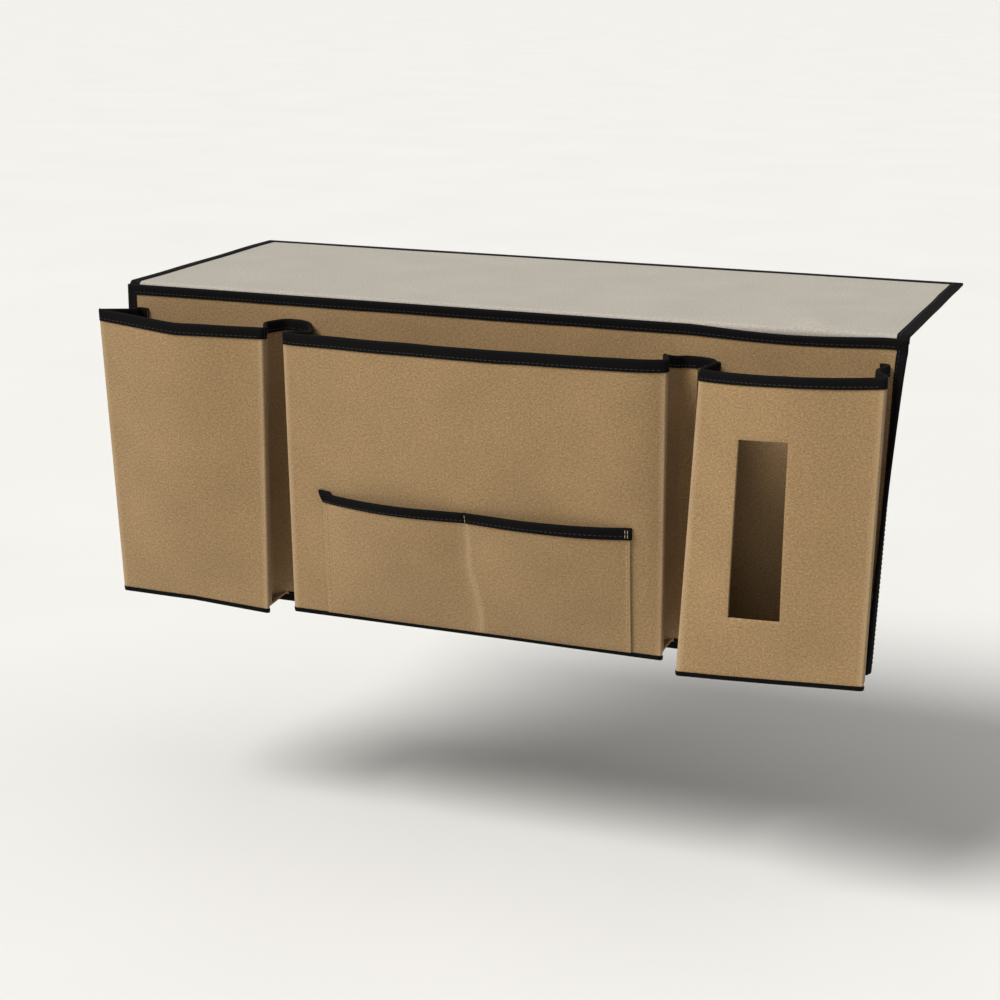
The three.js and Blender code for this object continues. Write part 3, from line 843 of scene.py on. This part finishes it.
# Patch pocket on the centre front: fullness is what its cut is wider than its place
patch = {
    "x0": -119, "x1": 127, "top": -141.8, "foot": -238.9, "thickness": 1.8, "hem": 4, "fullness": 4,
    "hemLines": (0, 0.8, 2), "step": (2.4, 3), "bulge": 9, "taper": 0.6, "lobe": 0.9,
    "wave": 0.5, "waveLength": (28, 24), "waveSeed": 51,
    "seamTop": 1.2, "seamFoot": 8.5, "seamHalf": 1, "seamSlack": 0.35, "slackReach": 26, "slackHold": 6,
    "leanFrom": 0.1, "leanOver": 0.6, "stray": 1.4, "strayLength": 22, "straySeed": 57,
    "ridge": 0.7, "ridgeOut": 3.2, "ridgeReach": 1.6,
    "ridgeEven": 0.8, "ridgePatchy": 0.5, "ridgeLength": 9, "ridgeSeed": 55,
    "edgeWearAndHighlight": 0.15, "edgeReach": 1.2, "seamWearAndHighlight": 0.3, "seamReach": 3.2,
    "tapeWidth": 8.2, "tapePast": 1, "flare": 0.13,
    "tail": 4, "tailLift": 0.8, "tailReach": 7, "tailHold": 8,
    "stub": 10.5, "stubStep": 2.4, "stubRise": 2.2, "stubCut": 4.5, "stubSlant": 1.5, "stubFull": 0.3,
}


def patchRise(z):
    return (z - patch["foot"]) / (patch["top"] - patch["foot"])


def seamX(z):
    up = patchRise(z)
    lean = eased((up - patch["leanFrom"]) / patch["leanOver"])
    stray = patch["stray"] * ripple(z / patch["strayLength"], 0, patch["straySeed"])
    return lerp(patch["seamFoot"], patch["seamTop"], lean) + stray * math.sin(math.pi * min(1, up))


# Middle of the patch's cloth: two slack compartments between the side seams and the leaning middle seam
def patchPoint(x, z, across):
    up = clamped(patchRise(z))
    seam = seamX(z)
    a, b = patch["x0"] + patch["hem"], seam - patch["seamHalf"]
    if x >= seam:
        a, b = seam + patch["seamHalf"], patch["x1"] - patch["hem"]
    share = clamped((x - a) / (b - a))
    lobe = math.sin(math.pi * share) ** patch["lobe"]
    bridge = patch["seamSlack"] * up ** patch["slackHold"] * hump(x - seam, patch["slackReach"])
    slack = patch["bulge"] * up ** patch["taper"] * (lobe + bridge * (1 - lobe))
    ridge = patch["ridge"] * hump(abs(x - seam) - patch["ridgeOut"], patch["ridgeReach"])
    patchy = patch["ridgePatchy"] * ripple(z / patch["ridgeLength"], 0, patch["ridgeSeed"])
    ridge *= patch["ridgeEven"] + patchy
    lengthX, lengthZ = patch["waveLength"]
    wave = patch["wave"] * ripple(x / lengthX, z / lengthZ, patch["waveSeed"]) * math.sin(math.pi * share)
    face = frontY(pockets["centre"], x, z) - shell["seamGap"] - patch["thickness"] / 2
    tail = patch["tailLift"] * hump(x - patch["x0"] + patch["tail"], patch["tailReach"])
    tail *= up ** patch["tailHold"]
    dx, dz = strained(pockets["centre"], x, z)
    return Vector((x + dx, face - slack - ridge - wave - across, z + tail + dz))


# The tape's left end is folded under: a short stub, thicker and a little taller, its lower corner drawn in
def patchTapePoint(s, d, across):
    fromEnd = s - patch["x0"] + patch["tail"]
    stub = eased((patch["stub"] - fromEnd) / patch["stubStep"] + 0.5)
    low = min(1, d / patch["tapeWidth"])
    drawn = patch["stubCut"] * low ** patch["stubSlant"] * max(0, 1 - fromEnd / patch["stub"])
    z = patch["top"] - d + patch["stubRise"] * stub * (1 - low)
    return patchPoint(s + drawn, z, across * (1 + patch["stubFull"] * stub))


# Pale paint along the patch's side edges and its middle seam: a painted highlight, with handling wear
def patchWearAndHighlight(x, z):
    edge = min(x - patch["x0"], patch["x1"] - x)
    seam = patch["seamWearAndHighlight"] * hump(x - seamX(z), patch["seamReach"])
    return patch["edgeWearAndHighlight"] * hump(edge, patch["edgeReach"]) + seam


x0, x1 = patch["x0"], patch["x1"]
xs = [x0 + line for line in patch["hemLines"]]
xs += spaced(x0 + patch["hem"], x1 - patch["hem"], patch["step"][0])
xs += [x1 - line for line in reversed(patch["hemLines"])]
patchCloth = clothSheet("patchCloth", xs, spaced(patch["foot"], patch["top"] - edgeIn, patch["step"][1]),
                        lambda x, z: patchPoint(x, z, 0), patch["thickness"], tanFelt, wearAndHighlight=patchWearAndHighlight)
dress(patchCloth, "centre_front", "patch_pocket")
bindEdge("patchTape", patchTapePoint, x0 - patch["tail"], x1 + patch["tapePast"], "centre_front",
         "patch_binding", width=patch["tapeWidth"], seed=61, flare=patch["flare"])

# Its seams, and the tacks that hold the tape at the middle seam and at the right end
patchSeams = {"sideIn": 2.6, "footIn": 1, "topIn": 10, "proud": 1.05}
tacks = {"endIns": (1.5, 3.5), "low": 8, "high": 1.2, "pitch": 3.2, "proud": 1.8}
forward = Vector((0, -1, 0))
spots = []
for line in (lambda z: x0 + patchSeams["sideIn"], lambda z: x1 - patchSeams["sideIn"], seamX):
    spots += seamSpots(lambda z: (patchPoint(line(z), z, patchSeams["proud"]), forward),
                       patch["foot"] + patchSeams["footIn"], patch["top"] - patchSeams["topIn"])
stitchRow("patchSeamStitches", spots, tanThread, "centre_front")
spots = []
for x in (seamX(patch["top"]), *(x1 - endIn for endIn in tacks["endIns"])):
    spots += seamSpots(lambda z: (patchPoint(x, z, tacks["proud"]), forward),
                       patch["top"] - tacks["low"], patch["top"] - tacks["high"], tacks["pitch"])
stitchRow("patchTackStitches", spots, tanThread, "centre_front")
bpy.data.objects.remove(stitchModel)
print("patch pocket made")


# Stage: sizes in metres; the backdrop is pale to the eye, and the sky lights dimly
stage = {"floorZ": -0.42, "floorSize": 160, "floorTones": ("#c3c2c0", "#c9c8c6"), "drift": 3,
         "sky": "#f4f3ef", "skyLight": 0.2, "skySeen": 1.0}
deselectAll()
bpy.ops.mesh.primitive_plane_add(size=stage["floorSize"], location=(0, 0, stage["floorZ"]))
ground = bpy.context.object
ground.name = "studioFloor"
# Matt painted studio floor: even and pale, with a faint drift of tone
floorPaint, tree, shader = newMaterial("matt painted studio floor", {
    "Roughness": 0.9, "Specular IOR Level": 0.15})
place = addNode(tree, "ShaderNodeTexCoord").outputs["Object"]
drift = addNode(tree, "ShaderNodeTexNoise", None, {"Vector": place, "Scale": stage["drift"], "Detail": 2})
tones = addNode(tree, "ShaderNodeValToRGB", None, {0: drift.outputs[0]})
for stop, colour in zip(tones.color_ramp.elements, stage["floorTones"]):
    stop.color = linear(colour)
tree.links.new(tones.outputs[0], shader.inputs["Base Color"])
ground.data.materials.append(floorPaint)

world = bpy.data.worlds.new("soft studio") if bpy.context.scene.world is None else bpy.context.scene.world
bpy.context.scene.world = world
world.use_nodes = True
sky = world.node_tree.nodes["Background"]
sky.inputs["Color"].default_value = linear(stage["sky"])
seen = addNode(world.node_tree, "ShaderNodeLightPath").outputs["Is Camera Ray"]
strength = addNode(world.node_tree, "ShaderNodeMapRange", None, {
    0: seen, 3: stage["skyLight"], 4: stage["skySeen"]})
world.node_tree.links.new(strength.outputs[0], sky.inputs["Strength"])


# A far soft box: its direction from the caddy, power, spread in degrees and colour
def softLight(direction, power, spread, colour):
    deselectAll()
    bpy.ops.object.light_add(type="SUN", rotation=Vector(direction).to_track_quat("Z", "Y").to_euler())
    lamp = bpy.context.object
    lamp.data.energy = power
    lamp.data.angle = math.radians(spread)
    lamp.data.color = linear(colour)[:3]


softLight((-0.6, -0.72, 1.15), 4.2, 30, "#fffefb")  # key, high on the left of the pockets
softLight((0.1, -1.0, 0.35), 0.35, 40, "#f6f8ff")  # faint fill from the front
softLight((0.1, 0.1, 1.0), 1.2, 70, "#ffffff")  # overhead, to soften the shadow on the floor

# Camera at the photograph's viewing angle: azimuth, elevation and roll in degrees, distance and aim in
# millimetres, focal in pixels of the photograph, which zoom then enlarges, clip in metres
view = {"azimuth": 20.285, "elevation": 15.024, "roll": 0.426, "distance": 1613.25,
        "aim": (7.09, -127.3, -146.14), "focal": 1101.95, "zoom": 1.92, "imageWidth": 1000,
        "sensor": 36, "clip": 200}
azimuth, elevation, roll = (math.radians(view[k]) for k in ("azimuth", "elevation", "roll"))
ahead = Vector((-math.sin(azimuth) * math.cos(elevation), math.cos(azimuth) * math.cos(elevation),
                -math.sin(elevation)))
level = Vector((math.cos(azimuth), math.sin(azimuth), 0))
upward = level.cross(ahead)
right = level * math.cos(roll) + upward * math.sin(roll)
upward = upward * math.cos(roll) - level * math.sin(roll)
bpy.ops.object.camera_add()
camera = bpy.context.object
camera.name = "photoCamera"
camera.matrix_world = Matrix.Translation((Vector(view["aim"]) - ahead * view["distance"]) * mm) @ Matrix(
    (right, upward, -ahead)).transposed().to_4x4()
camera.data.sensor_width = view["sensor"]
camera.data.lens = view["sensor"] * view["focal"] * view["zoom"] / view["imageWidth"]
camera.data.clip_end = view["clip"]
bpy.context.scene.camera = camera
bpy.context.scene.view_settings.view_transform = "Standard"
print("stage set")
